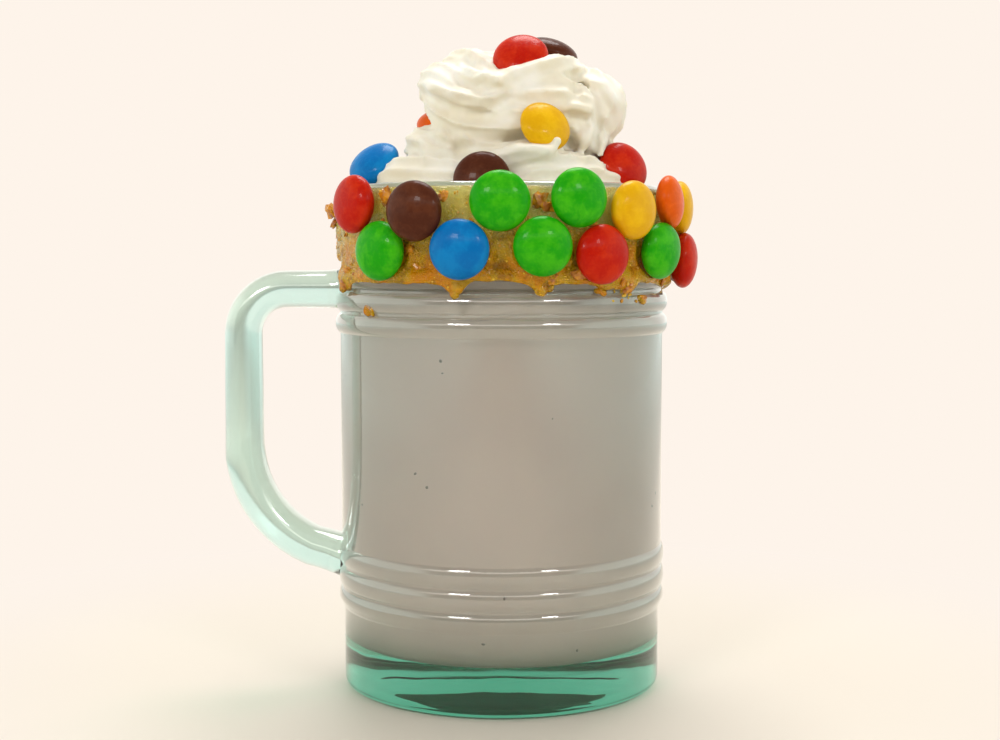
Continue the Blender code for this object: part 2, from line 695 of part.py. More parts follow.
def make_sauce(collection, helpers):
    """The sauce skin with its crushed nuts fused on."""
    sauce = make_sauce_skin(collection)
    crumbs = bpy.data.collections.new("crumbs")
    helpers.children.link(crumbs)
    draw = random.Random(CRUMB_SEED + 1)
    for i, (degrees, z, size) in enumerate(crumb_places()):
        angle = math.radians(degrees)
        radius = sauce_inner(z, size) + size * 1.05
        bm = bmesh.new()
        bmesh.ops.create_icosphere(bm, subdivisions=1, radius=size)
        for vertex in bm.verts:
            vertex.co *= draw.uniform(0.75, 1.0)
        mesh = mesh_from("crumb_%02d" % i, bm)
        crumb = make_cutter(new_object("crumb_%02d" % i, mesh, None, crumbs))
        crumb.location = (radius * math.sin(angle), -radius * math.cos(angle), z)
        crumb.scale = (1.0, 1.0, draw.uniform(0.7, 1.0))
        crumb.rotation_euler = (draw.uniform(0, 3), draw.uniform(0, 3), draw.uniform(0, 3))
    join = sauce.modifiers.new("Crumbs", "BOOLEAN")
    join.operation = "UNION"
    join.solver = "MANIFOLD"
    join.operand_type = "COLLECTION"
    join.collection = crumbs
    apply_modifiers(sauce)
    for crumb in list(crumbs.objects):
        bpy.data.objects.remove(crumb)
    return sauce


def main():
    clear_scene()
    milkshake = new_collection("Milkshake")
    helpers = new_collection("Cutters")
    make_mug(milkshake, helpers)
    make_shake(milkshake)
    make_sweets(milkshake)
    make_cream(milkshake, helpers)
    make_sauce(milkshake, helpers)


main()
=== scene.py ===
import math
import random

import bpy
import numpy as np
from mathutils import Matrix, Vector, noise


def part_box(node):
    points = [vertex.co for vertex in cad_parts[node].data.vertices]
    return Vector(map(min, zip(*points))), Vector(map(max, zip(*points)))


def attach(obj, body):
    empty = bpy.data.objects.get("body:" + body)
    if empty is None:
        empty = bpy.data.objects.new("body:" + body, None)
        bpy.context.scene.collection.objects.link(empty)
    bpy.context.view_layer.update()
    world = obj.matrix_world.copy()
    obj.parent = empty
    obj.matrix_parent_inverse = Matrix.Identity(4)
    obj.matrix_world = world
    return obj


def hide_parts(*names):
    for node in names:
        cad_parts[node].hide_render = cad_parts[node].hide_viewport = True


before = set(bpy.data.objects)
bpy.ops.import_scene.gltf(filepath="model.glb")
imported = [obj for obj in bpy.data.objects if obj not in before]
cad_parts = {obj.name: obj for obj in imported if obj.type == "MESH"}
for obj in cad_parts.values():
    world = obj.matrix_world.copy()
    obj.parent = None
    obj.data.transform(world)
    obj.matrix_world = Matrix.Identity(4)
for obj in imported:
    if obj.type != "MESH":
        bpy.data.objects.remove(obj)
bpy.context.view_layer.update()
bpy.ops.object.select_all(action="DESELECT")
scene = bpy.context.scene


# Camera: a longish lens a little above the upper beads, tipped down four degrees, straight on
# with the handle to the left.
CAMERA_PLACE = (-0.00035, -0.4094, 0.1076)
CAMERA_TIP = 85.93
LENS = 58.97
bpy.ops.object.camera_add(location=CAMERA_PLACE, rotation=(math.radians(CAMERA_TIP), 0, 0))
camera = bpy.context.object
camera.data.lens = LENS
camera.data.sensor_width = 36.0
camera.data.clip_start = 0.01
scene.camera = camera
scene.view_settings.view_transform = "Standard"


# Floor: a pale seamless table top under soft studio light. Away from the mug it glows in the same
# cream as what is behind it, so that no edge shows. All finishes are wired through the class Wire.
BACKDROP = (0.991, 0.905, 0.823)
FLOOR_RADIUS = 3.0
FLOOR_DROP = 0.0001


class Wire:
    """One output socket of a finish. Sums and products on it add Math nodes."""

    def __init__(self, tree, socket=None):
        self.tree = tree
        self.socket = socket

    def node(self, kind, settings=None, values=None, out=0):
        """A new node: its settings first, then the values or links of its sockets."""
        node = self.tree.nodes.new(kind)
        for key, value in (settings or {}).items():
            setattr(node, key, value)
        for key, value in (values or {}).items():
            if isinstance(value, Wire):
                self.tree.links.new(value.socket, node.inputs[key])
            else:
                node.inputs[key].default_value = value
        return Wire(self.tree, node.outputs[out])

    def math(self, operation, *values):
        return self.node("ShaderNodeMath", {"operation": operation}, dict(enumerate(values)))

    def __add__(self, other):
        return self.math("ADD", self, other)

    def __sub__(self, other):
        return self.math("SUBTRACT", self, other)

    def __rsub__(self, other):
        return self.math("SUBTRACT", other, self)

    def __mul__(self, other):
        return self.math("MULTIPLY", self, other)

    __radd__ = __add__
    __rmul__ = __mul__

    def ramp(self, low, high):
        """0 where this is at or under low, 1 at or over high."""
        settings = {"interpolation_type": "SMOOTHSTEP"}
        return self.node("ShaderNodeMapRange", settings, {0: self, 1: low, 2: high})

    def mix(self, colour_a, colour_b):
        """From colour_a to colour_b as this goes from 0 to 1."""
        ends = [c if isinstance(c, Wire) else (*c, 1.0) for c in (colour_a, colour_b)]
        return self.node("ShaderNodeMix", {"data_type": "RGBA"}, {0: self, 6: ends[0], 7: ends[1]}, 2)


def finish(name):
    """A new finish: its material, its wiring, the place on the piece, and its Principled node."""
    material = bpy.data.materials.new(name)
    material.use_nodes = True
    tree = material.node_tree
    wire = Wire(tree)
    place = wire.node("ShaderNodeTexCoord", out=3)
    return material, wire, place, tree.nodes["Principled BSDF"]


def feed(shader, name, value):
    """Gives one of the shader's sockets a number, a colour or a wire."""
    if isinstance(value, Wire):
        value.tree.links.new(value.socket, shader.inputs[name])
    else:
        shader.inputs[name].default_value = value


bpy.ops.mesh.primitive_circle_add(
    vertices=96, radius=FLOOR_RADIUS, fill_type="NGON", location=(0, 0, -FLOOR_DROP)
)
floor = bpy.context.object
floor.name = "floor"
floor_paint, wire, place, shader = finish("floor_paint")
across = place.node("ShaderNodeSeparateXYZ", None, {0: place})
aside = across.math("ABSOLUTE", across)
feed(shader, "Base Color", aside.ramp(0.10, 0.30).mix((0.74, 0.67, 0.58), (0.60, 0.54, 0.48)))
feed(shader, "Roughness", 0.6)
feed(shader, "Specular IOR Level", 0.2)
away = place.node("ShaderNodeVectorMath", {"operation": "LENGTH"}, {0: place}, 1)
# For all light but the camera's, the floor glows a pale green-white more and more towards the sides: a
# hidden lamp that lights the glass.
seen = wire.node("ShaderNodeLightPath", out=0)
glow = wire.node("ShaderNodeEmission", None, {"Color": seen.mix((0.92, 1.02, 0.95), BACKDROP)})
share = away.ramp(0.075, 0.20) * seen + aside.ramp(0.05, 0.85) * (1 - seen)
paint = Wire(wire.tree, shader.outputs[0])
surface = wire.node("ShaderNodeMixShader", None, {0: share, 1: paint, 2: glow})
wire.tree.links.new(surface.socket, wire.tree.nodes["Material Output"].inputs["Surface"])
floor.data.materials.append(floor_paint)


# Studio: a bright room all round that is dimmer behind the camera but for a bright band there. Two
# soft boxes in front show as the pairs of short streaks on the beads and the sweets, and a third
# hangs above and behind the glass.
LAMPS_FACE = Vector((0, 0, 0.09))
world = bpy.data.worlds.new("studio")
scene.world = world
world.use_nodes = True
air = Wire(world.node_tree)
way = air.node("ShaderNodeTexCoord", out=0)
split = way.node("ShaderNodeSeparateXYZ", None, {0: way}).socket.node
split_x = Wire(air.tree, split.outputs[0])
ahead = Wire(air.tree, split.outputs[1])
up = Wire(air.tree, split.outputs[2])
room = ahead.ramp(-0.65, 0.15).mix((0.26, 0.255, 0.25), (1.16, 1.13, 1.06))
aside = split_x.math("ABSOLUTE", split_x).ramp(0.70, 0.90)
room = aside.mix(room, (1.42, 1.54, 1.44))
room = up.ramp(0.40, 0.75).mix(room, (0.46, 0.44, 0.42))
band = up.ramp(0.28, 0.34) * (1 - up.ramp(0.42, 0.50)) * (1 - ahead.ramp(-0.62, -0.40))
room = band.mix(room, (2.3, 2.25, 2.15))
seen = air.node("ShaderNodeLightPath", out=0)
shown = seen.mix(room, BACKDROP)
air.tree.links.new(shown.socket, world.node_tree.nodes["Background"].inputs["Color"])


def soft_box(name, place, width, height, power):
    """A rectangular lamp that faces the glass."""
    bpy.ops.object.light_add(type="AREA", location=place)
    lamp = bpy.context.object
    lamp.name = name
    lamp.data.shape = "RECTANGLE"
    lamp.data.size = width
    lamp.data.size_y = height
    lamp.data.energy = power
    lamp.rotation_euler = (LAMPS_FACE - Vector(place)).to_track_quat("-Z", "Y").to_euler()


soft_box("soft_box_left", (-0.62, -1.05, 0.72), 0.32, 0.22, 3.9)
soft_box("soft_box_right", (0.72, -1.00, 0.74), 0.26, 0.20, 2.6)
soft_box("soft_box_above", (0.06, 0.34, 0.86), 0.46, 0.40, 5.4)


# Glass mug: one piece of pressed green-tinted glass, with three beads round the foot, three
# under the neck, a thick floor and a handle. It is turned from its section, and the handle is fused on.
MUG_RADIUS = 0.0400
MUG_HEIGHT = 0.1240
NECK_RADIUS = 0.0397
HEEL_RADIUS = 0.0394
HEEL_ROUND = 0.0026
CAVITY_RADIUS = 0.0360
CAVITY_FLOOR = 0.0108
CAVITY_TURN = 0.0085
CAVITY_RISE = 0.0180
RIM_ROUND = 0.0016
BEAD_HALF = 0.0022
LOW_BEADS = (0.0226, 0.0280, 0.0334)
LOW_BEAD_OUT = 0.0007
HIGH_BEADS = (0.0906, 0.0960, 0.1014)
HIGH_BEAD_OUT = 0.0012
RECESS_RADIUS = 0.0215
RECESS_DEPTH = 0.0016
BEAD_SPREAD = 1.12
BEAD_PARTS = (1.0, 0.9, 0.7, 0.4, 0, -0.4, -0.7, -0.9, -1.0)
FLAT_FLOOR = 0.018
FOOT_STEPS = 14
MUG_STEPS = 144


def arc(centre_r, centre_z, radius, start, end, count):
    """Points along an arc of the section, as (radius, height), from one angle in degrees to another."""
    angles = [math.radians(start + (end - start) * i / count) for i in range(count + 1)]
    return [(centre_r + radius * math.cos(a), centre_z + radius * math.sin(a)) for a in angles]


def bore_foot(spare, start, end, count):
    """The bore's rounded lower corner, as (radius, height), grown by a spare width."""
    corner = []
    for i in range(count + 1):
        angle = math.radians(start + (end - start) * i / count)
        r = CAVITY_RADIUS - CAVITY_TURN + (CAVITY_TURN + spare) * math.cos(angle)
        corner.append((r, CAVITY_FLOOR + CAVITY_RISE + (CAVITY_RISE + spare) * math.sin(angle)))
    return corner


def wall_radius(z):
    """Outer radius of the glass at a height, with its beads."""
    if z > HIGH_BEADS[1] + BEAD_HALF:
        plain = NECK_RADIUS
    elif z < LOW_BEADS[0]:
        plain = HEEL_RADIUS
    else:
        plain = MUG_RADIUS
    bulge = 0.0
    for centres, out in ((LOW_BEADS, LOW_BEAD_OUT), (HIGH_BEADS, HIGH_BEAD_OUT)):
        for centre in centres:
            offset = min(1.0, abs(z - centre) / (BEAD_HALF * BEAD_SPREAD))
            bulge = max(bulge, out * (1.0 - offset ** 2.4) ** 0.8)
    return plain + bulge


def turned(name, section, steps):
    """A solid turned round Z from a drawn section of (radius, height) points."""
    bpy.ops.mesh.primitive_plane_add(size=0.001, location=(0, 0, 0))
    piece = bpy.context.object
    piece.name = name
    bpy.ops.object.mode_set(mode="EDIT")
    bpy.ops.mesh.merge(type="CENTER")
    bpy.ops.transform.translate(value=(section[0][0], 0, section[0][1]))
    for (r, z), (next_r, next_z) in zip(section, section[1:]):
        step = {"value": (next_r - r, 0, next_z - z)}
        bpy.ops.mesh.extrude_vertices_move(TRANSFORM_OT_translate=step)
    bpy.ops.mesh.select_all(action="SELECT")
    bpy.ops.mesh.spin(steps=steps, angle=2 * math.pi, center=(0, 0, 0), axis=(0, 0, 1))
    bpy.ops.mesh.select_all(action="SELECT")
    bpy.ops.mesh.remove_doubles(threshold=0.000001)
    bpy.ops.mesh.normals_make_consistent(inside=False)
    bpy.ops.object.mode_set(mode="OBJECT")
    bpy.ops.object.shade_smooth_by_angle(angle=math.radians(50))
    return piece


def only(piece):
    """Makes this the one selected and active object."""
    bpy.ops.object.select_all(action="DESELECT")
    piece.select_set(True)
    bpy.context.view_layer.objects.active = piece


def apply_all(piece):
    only(piece)
    for modifier in list(piece.modifiers):
        bpy.ops.object.modifier_apply(modifier=modifier.name)


def bead_heights(centres):
    """Heights of the section's points over a set of beads, from the top down."""
    return [centre + BEAD_HALF * part * BEAD_SPREAD for centre in reversed(centres) for part in BEAD_PARTS]


heights = [MUG_HEIGHT - 0.006, 0.110]
heights += bead_heights(HIGH_BEADS)
heights += [0.084, 0.070, 0.055, 0.042]
heights += bead_heights(LOW_BEADS)
heights += [0.014, 0.008]
section = [(0.0, CAVITY_FLOOR), (FLAT_FLOOR, CAVITY_FLOOR)]
section += bore_foot(0, -90, 0, FOOT_STEPS)
section += arc(CAVITY_RADIUS + RIM_ROUND, MUG_HEIGHT - RIM_ROUND, RIM_ROUND, 180, 90, 7)
section += arc(NECK_RADIUS - RIM_ROUND, MUG_HEIGHT - RIM_ROUND, RIM_ROUND, 90, 0, 7)
section += [(wall_radius(z), z) for z in heights]
section += arc(HEEL_RADIUS - HEEL_ROUND, HEEL_ROUND, HEEL_ROUND, 0, -90, 8)
section += [(RECESS_RADIUS + 0.0008, 0.0)]
for part in (0.02, 0.06, 0.12, 0.2, 0.3, 0.45, 0.6, 0.8, 1.0):
    section.append((RECESS_RADIUS * (1 - part), RECESS_DEPTH * math.sin(part * math.pi / 2) ** 0.7))
mug = turned("glass_mug", section, MUG_STEPS)

# The handle's middle line as (x, z, size factor): in from the neck, round its top corner, down, and
# swept back to the low beads.
HANDLE_THICK = 0.0094
HANDLE_WIDE = 0.0124
HANDLE_SQUARE = 2.2
HANDLE_SIDES = 40
HANDLE_REACH = 0.0644
HANDLE_TOP = 0.0988
HANDLE_CORNER = 0.0110
SWEEP_TOP = 0.0600
SWEEP_AXIS = 0.0360
SWEEP_DROP = 0.0282
SWEEP_TURN = 66
handle_line = [(-0.0374, HANDLE_TOP, 1.12), (-0.0396, HANDLE_TOP, 1.08)]
handle_line += [(-0.0412, HANDLE_TOP, 1.02), (-0.0440, HANDLE_TOP, 0.99)]
corner = (-HANDLE_REACH + HANDLE_CORNER, HANDLE_TOP - HANDLE_CORNER, HANDLE_CORNER)
handle_line += [(x, z, 0.97) for x, z in arc(*corner, 90, 180, 12)]
handle_line += [(-HANDLE_REACH, 0.0810, 0.98), (-HANDLE_REACH, 0.0740, 1.0)]
handle_line += [(-HANDLE_REACH, 0.0670, 1.0), (-HANDLE_REACH, SWEEP_TOP, 1.02)]
for i in range(1, 12):
    angle = math.radians(SWEEP_TURN * i / 11)
    x = -SWEEP_AXIS - (HANDLE_REACH - SWEEP_AXIS) * math.cos(angle)
    handle_line.append((x, SWEEP_TOP - SWEEP_DROP * math.sin(angle), 1.06))
handle_line += [(-0.0440, 0.0333, 1.07), (-0.0412, 0.0324, 1.10)]
handle_line += [(-0.0396, 0.0320, 1.16), (-0.0374, 0.0318, 1.22)]


def drawn_line(name, points):
    """A straight-sided curve through (x, y, z, radius factor) points."""
    bpy.ops.curve.primitive_nurbs_path_add(location=(0, 0, 0))
    curve = bpy.context.object
    curve.name = name
    curve.data.splines.clear()
    line = curve.data.splines.new("POLY")
    line.points.add(len(points) - 1)
    for point, (x, y, z, factor) in zip(line.points, points):
        point.co = (x, y, z, 1)
        point.radius = factor
    return curve


handle_outline = []
for i in range(HANDLE_SIDES):
    angle = 2 * math.pi * i / HANDLE_SIDES
    across, along = math.cos(angle), math.sin(angle)
    across = math.copysign(abs(across) ** (2 / HANDLE_SQUARE), across) * HANDLE_THICK / 2
    along = math.copysign(abs(along) ** (2 / HANDLE_SQUARE), along) * HANDLE_WIDE / 2
    handle_outline.append((along, across, 0, 1))
handle_section = drawn_line("handle_section", handle_outline)
handle_section.data.splines[0].use_cyclic_u = True
handle = drawn_line("handle", [(x, 0, z, factor) for x, z, factor in handle_line])
handle.data.bevel_mode = "OBJECT"
handle.data.bevel_object = handle_section
handle.data.use_fill_caps = True
only(handle)
bpy.ops.object.convert(target="MESH")
bpy.data.objects.remove(handle_section)
bpy.ops.object.mode_set(mode="EDIT")
bpy.ops.mesh.select_all(action="SELECT")
bpy.ops.mesh.remove_doubles(threshold=0.000001)
bpy.ops.mesh.normals_make_consistent(inside=False)
bpy.ops.object.mode_set(mode="OBJECT")
fuse = mug.modifiers.new("fuse", "BOOLEAN")
fuse.operation = "UNION"
fuse.solver = "EXACT"
fuse.object = handle
apply_all(mug)
bpy.data.objects.remove(handle)
bpy.ops.object.shade_smooth_by_angle(angle=math.radians(40))



def grain(place, scale, detail=3.0, rough=0.5):
    """Cloudy noise on the piece, from about 0.3 to 0.7. The scale is in features for each metre."""
    values = {"Vector": place, "Scale": scale, "Detail": detail, "Roughness": rough}
    return place.node("ShaderNodeTexNoise", None, values)


def relief(shader, height, depth):
    """A bump on the finish: height from 0 to 1, depth in metres."""
    values = {"Height": height, "Distance": depth, "Strength": 1.0}
    feed(shader, "Normal", height.node("ShaderNodeBump", None, values))


glass, wire, place, shader = finish("green_cast_glass")
feed(shader, "Base Color", (1.0, 1.0, 1.0, 1.0))
feed(shader, "Transmission Weight", 1.0)
feed(shader, "IOR", 1.51)
beside = place.node("ShaderNodeSeparateXYZ", None, {0: place})
height = Wire(wire.tree, beside.socket.node.outputs[2])
on_handle = 1 - beside.ramp(-0.0435, -0.0410)
feed(shader, "Roughness", grain(place, 60).ramp(0.55, 0.85) * 0.03 + on_handle * 0.13 + 0.005)
feed(shader, "Coat Weight", height.ramp(0.013, 0.022) * 0.85 + 0.15)
feed(shader, "Coat IOR", 1.7)
feed(shader, "Coat Roughness", 0.04)
relief(shader, grain(place, 45, 2.0), 0.0003)
tint = {"Color": (0.03, 0.61, 0.46, 1.0), "Density": 37.0}
thickness = wire.node("ShaderNodeVolumeAbsorption", None, tint)
clear = wire.node("ShaderNodeBsdfTransparent", None, {"Color": (0.90, 0.96, 0.94, 1.0)})
shadow = wire.node("ShaderNodeLightPath", out=1)
body = Wire(wire.tree, shader.outputs[0])
surface = wire.node("ShaderNodeMixShader", None, {0: shadow, 1: body, 2: clear})
output = wire.tree.nodes["Material Output"]
wire.tree.links.new(surface.socket, output.inputs["Surface"])
wire.tree.links.new(thickness.socket, output.inputs["Volume"])
mug.data.materials.clear()
mug.data.materials.append(glass)
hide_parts("mug")
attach(mug, "root")


# Milkshake: thick, taupe and opaque. It is turned from its section, a hair wider than the bore, so
# that it wets the wall with no air between.
SHAKE_LEVEL = 0.1045
WET = 0.00012
SHAKE_STEPS = 128
section = [(0.0, SHAKE_LEVEL), (0.030, SHAKE_LEVEL)]
section += [(CAVITY_RADIUS + WET, SHAKE_LEVEL), (CAVITY_RADIUS + WET, 0.060)]
section += bore_foot(WET, 0, -90, FOOT_STEPS)
section += [(FLAT_FLOOR, CAVITY_FLOOR - WET), (0.0, CAVITY_FLOOR - WET)]
shake = turned("milkshake_fill", section, SHAKE_STEPS)
shake_paint, wire, place, shader = finish("thick_milkshake")
cloud = grain(place, 38, 4.0).ramp(0.35, 0.65)
tone = cloud.mix((0.615, 0.412, 0.358), (0.645, 0.436, 0.378))
feed(shader, "Base Color", tone)
feed(shader, "Roughness", cloud * 0.1 + 0.45)
feed(shader, "Subsurface Weight", 0.25)
feed(shader, "Subsurface Radius", (1.0, 0.7, 0.5))
feed(shader, "Subsurface Scale", 0.003)
relief(shader, cloud, 0.0001)
shake.data.materials.append(shake_paint)
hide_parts("milkshake")
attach(shake, "root")


# Specks in the milkshake: dark grains that lie against the glass, 0.3 to 0.9 mm across. The seen ones
# lie where the picture has them, and more lie on the sides and the back. Each is its bearing in
# degrees, and its height and size in millimetres.
HIDDEN_SPECKS = 34
SPECKS = [
    (-21.9, 83.0, 0.8), (-21.2, 80.2, 0.6), (-32.2, 56.6, 0.9), (-27.4, 53.6, 0.8),
    (1.0, 28.2, 0.7), (-6.7, 17.4, 0.9), (30.2, 14.8, 0.9), (18.2, 69.8, 0.4),
]
draw = random.Random(4)
for _ in range(HIDDEN_SPECKS):
    SPECKS.append((draw.uniform(60, 300), draw.uniform(38, 86), draw.uniform(0.3, 0.9)))
specks = []
for bearing, height, size in SPECKS:
    bpy.ops.mesh.primitive_uv_sphere_add(
        segments=12, ring_count=8, radius=0.0005 * size, location=(0, 0, 0)
    )
    grain_piece = bpy.context.object
    turn = math.radians(bearing)
    rest = CAVITY_RADIUS + WET
    straight_from = 1000 * (CAVITY_FLOOR + CAVITY_RISE)
    if height < straight_from:
        drop = (straight_from - height) / (1000 * CAVITY_RISE)
        rest -= CAVITY_TURN * (1 - math.sqrt(max(0.0, 1 - drop * drop)))
    spot = Vector((rest * math.sin(turn), -rest * math.cos(turn), height / 1000))
    face = Vector((math.sin(turn), -math.cos(turn), 0)).to_track_quat("Z", "Y").to_matrix().to_4x4()
    stretch = Matrix.Diagonal((1.0, draw.uniform(0.6, 1.0), 0.35, 1))
    spin = Matrix.Rotation(draw.uniform(0, 3), 4, "Z")
    grain_piece.data.transform(Matrix.Translation(spot) @ face @ spin @ stretch)
    specks.append(grain_piece)
only(specks[0])
for grain_piece in specks:
    grain_piece.select_set(True)
bpy.ops.object.join()
specks = bpy.context.object
specks.name = "dark_specks"
bpy.ops.object.shade_smooth()
speck_paint, wire, place, shader = finish("cocoa_speck")
cloud = grain(place, 900, 2.0).ramp(0.35, 0.65)
feed(shader, "Base Color", cloud.mix((0.19, 0.125, 0.10), (0.28, 0.19, 0.15)))
feed(shader, "Roughness", cloud * 0.2 + 0.5)
specks.data.materials.append(speck_paint)
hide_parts("milkshake")
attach(specks, "root")


# Whipped cream: soft dairy cream piped in two tiers from a star nozzle. Each fold is a rope of its
# own, and all are melted into one skin, which keeps the creases between them. A fold's stations are
# x, y, z and radius in millimetres.
PLUG_TOP = 0.1240
ROPE_STEPS = 8
FIRST_SKIN = 0.0005
LAST_SKIN = 0.00055
STAR_SIDES = 72
STAR_REACH = 1.06
NOZZLE_POINTS = 9
NOZZLE_CUT = 0.23
LOW_FOLDS = (
    ((-27.5, -2, 124.0, 5.0), (-22.5, -13, 125.2, 6.2), (-14.0, -21.5, 124.5, 6.4), (-4, -25, 124, 6.0)),
    ((-16.6, 1, 132.6, 7.6), (-13.5, -9, 131.2, 7.4), (-7.0, -17, 129.3, 6.6)),
    ((-19.4, 0, 134.3, 4.9), (-18.0, -8, 133.2, 5.2), (-13, -14.5, 131.5, 5.0)),
    ((-4, -20, 128, 6.2), (5, -21.5, 128.8, 6.2), (11.0, -21.5, 130.3, 4.2), (12.6, -22, 133.6, 1.2)),
    ((8, -24, 124.5, 6.4), (17.5, -20.5, 125.0, 6.2), (25.5, -11.0, 123.6, 5.6), (29.0, 0, 124.0, 5.4)),
    ((28, 2, 125, 6.0), (20, 19, 126.5, 6.8), (4, 26.5, 127, 7.0), (-14, 22.5, 126.5, 7.0),
     (-27, 6, 125, 6.2)),
    ((-10, -6, 134, 9.0), (10, -8, 133.5, 10.0), (14, 8, 134, 10.0), (-8, 12, 134, 9.5),
     (-10, 2, 136, 8.0)),
)
HIGH_FOLDS = (
    ((-14.4, 1, 146.6, 5.9), (-12.6, -9.5, 143.2, 6.0), (-7.0, -15, 140.0, 6.8), (3, -16, 139.2, 6.6)),
    ((-15.8, -1, 149.7, 5.0), (-12.6, -9.5, 148.8, 5.2), (-6, -15.5, 145.4, 4.6), (2.5, -15, 148.3, 3.8)),
    ((-10.5, 0, 153.2, 4.8), (-7.4, -6.5, 152.8, 4.8), (-2.5, -10.5, 149.8, 4.2)),
    ((0, -13.0, 146.0, 4.6), (7, -14, 148.0, 5.2), (13.5, -10.5, 150.4, 5.2), (16.4, -2.5, 151.4, 4.8)),
    ((20.0, 3, 149.2, 5.4), (23.6, -4.5, 145.5, 6.6), (24.0, -6, 141.5, 6.6), (21.5, -7, 137.2, 5.2)),
    ((1, -13.5, 143, 6.6), (9, -14.5, 143.6, 7.0), (16, -13.2, 143.4, 6.4)),
    ((13.5, -15.5, 138.8, 4.6), (18.6, -15.0, 137.0, 3.8), (18.9, -19.5, 131.6, 1.2)),
    ((20, -10, 138, 4.6), (22.6, -12.0, 135.6, 3.4), (23.6, -16, 131.4, 1.2)),
    ((22, 2, 145, 6.4), (15.5, 13, 145.5, 7.2), (3, 17, 146.5, 7.2), (-9, 13, 147.5, 7.0),
     (-15, 3, 148, 6.0)),
    ((20, 4, 138.5, 6.4), (10, 15.5, 138, 7.0), (-5, 16.5, 138.5, 7.0), (-13.5, 7, 140.5, 6.0)),
    ((15, 2, 151.5, 5.2), (7, 8, 152.8, 5.2), (-2, 6, 153.2, 5.2), (-8.5, 1, 152.8, 5.0)),
    ((-6, 2, 144, 11.0), (4, 1, 145, 11.5), (14, 1, 144, 10.0)),
    ((-10, -10.5, 144.0, 6.5), (-4, -12, 143.5, 7.0), (4, -10.5, 141, 7.0)),
    ((10, -5, 137, 9.0), (17, -4, 136, 8.5), (20, -2, 132, 8.0)),
    ((12, -13, 134, 5.5), (19, -9.5, 133.5, 6.0), (23, -4, 132.0, 6.0)),
    ((0, -24, 129.5, 3.6), (5, -25.5, 130.5, 3.6), (9.5, -26.4, 131.6, 3.0), (12.4, -26.2, 133.6, 1.3)),
)


def rope(name, stations):
    """A rope of cream through its stations, each x, y, z and radius in millimetres."""
    bpy.ops.curve.primitive_nurbs_path_add(location=(0, 0, 0))
    piece = bpy.context.object
    piece.name = name
    piece.data.splines.clear()
    points = smooth_run(stations, ROPE_STEPS)
    points = round_end(round_end(points)[::-1])
    line = piece.data.splines.new("POLY")
    line.points.add(len(points) - 1)
    for point, (x, y, z, radius) in zip(line.points, points):
        point.co = (x / 1000, y / 1000, z / 1000, 1)
        point.radius = radius
    piece.data.bevel_mode = "OBJECT"
    piece.data.bevel_object = nozzle
    piece.data.use_fill_caps = True
    only(piece)
    bpy.ops.object.convert(target="MESH")
    return piece


def smooth_run(stations, steps):
    """More points on the smooth curve through the stations."""
    run = []
    last = len(stations) - 1
    for i in range(last):
        a, b, c, d = [Vector(stations[max(0, min(last, i + k))]) for k in (-1, 0, 1, 2)]
        for step in range(steps + (i == last - 1)):
            t = step / steps
            turn = 2 * a - 5 * b + 4 * c - d
            swing = 3 * b - a - 3 * c + d
            run.append(0.5 * (2 * b + (c - a) * t + turn * t * t + swing * t * t * t))
    return run


def round_end(points):
    """The points with a dome added after the last one."""
    end = points[-1]
    way = (end - points[-2]).to_3d().normalized()
    dome = []
    for along, wide in ((0.3, 0.95), (0.55, 0.83), (0.8, 0.6), (0.95, 0.31)):
        place = end.to_3d() + way * end.w * along
        dome.append(Vector((*place, end.w * wide)))
    return points + dome


def melted(name, pieces, voxel, softening):
    """One skin round all the pieces."""
    only(pieces[0])
    for piece in pieces:
        piece.select_set(True)
    bpy.ops.object.join()
    skin = bpy.context.object
    skin.name = name
    remesh = skin.modifiers.new("skin", "REMESH")
    remesh.mode = "VOXEL"
    remesh.voxel_size = voxel
    remesh.use_smooth_shade = True
    soften = skin.modifiers.new("soften", "SMOOTH")
    soften.factor = 0.5
    soften.iterations = softening
    apply_all(skin)
    return skin


bpy.ops.mesh.primitive_cylinder_add(
    vertices=128, radius=CAVITY_RADIUS + WET * 2, depth=PLUG_TOP - SHAKE_LEVEL,
    location=(0, 0, (PLUG_TOP + SHAKE_LEVEL) / 2),
)
bpy.ops.object.transform_apply(location=True)
ropes = [bpy.context.object]
star = []
for i in range(STAR_SIDES):
    angle = 2 * math.pi * i / STAR_SIDES
    radius = 0.001 * (STAR_REACH - NOZZLE_CUT * abs(math.sin(NOZZLE_POINTS * angle / 2)) ** 0.8)
    star.append((radius * math.cos(angle), radius * math.sin(angle), 0, 1))
nozzle = drawn_line("star_nozzle", star)
nozzle.data.splines[0].use_cyclic_u = True
for i, stations in enumerate(LOW_FOLDS + HIGH_FOLDS):
    ropes.append(rope("fold_%02d" % i, stations))
cream = melted("piped_cream", ropes, FIRST_SKIN, 4)
bpy.data.objects.remove(nozzle)

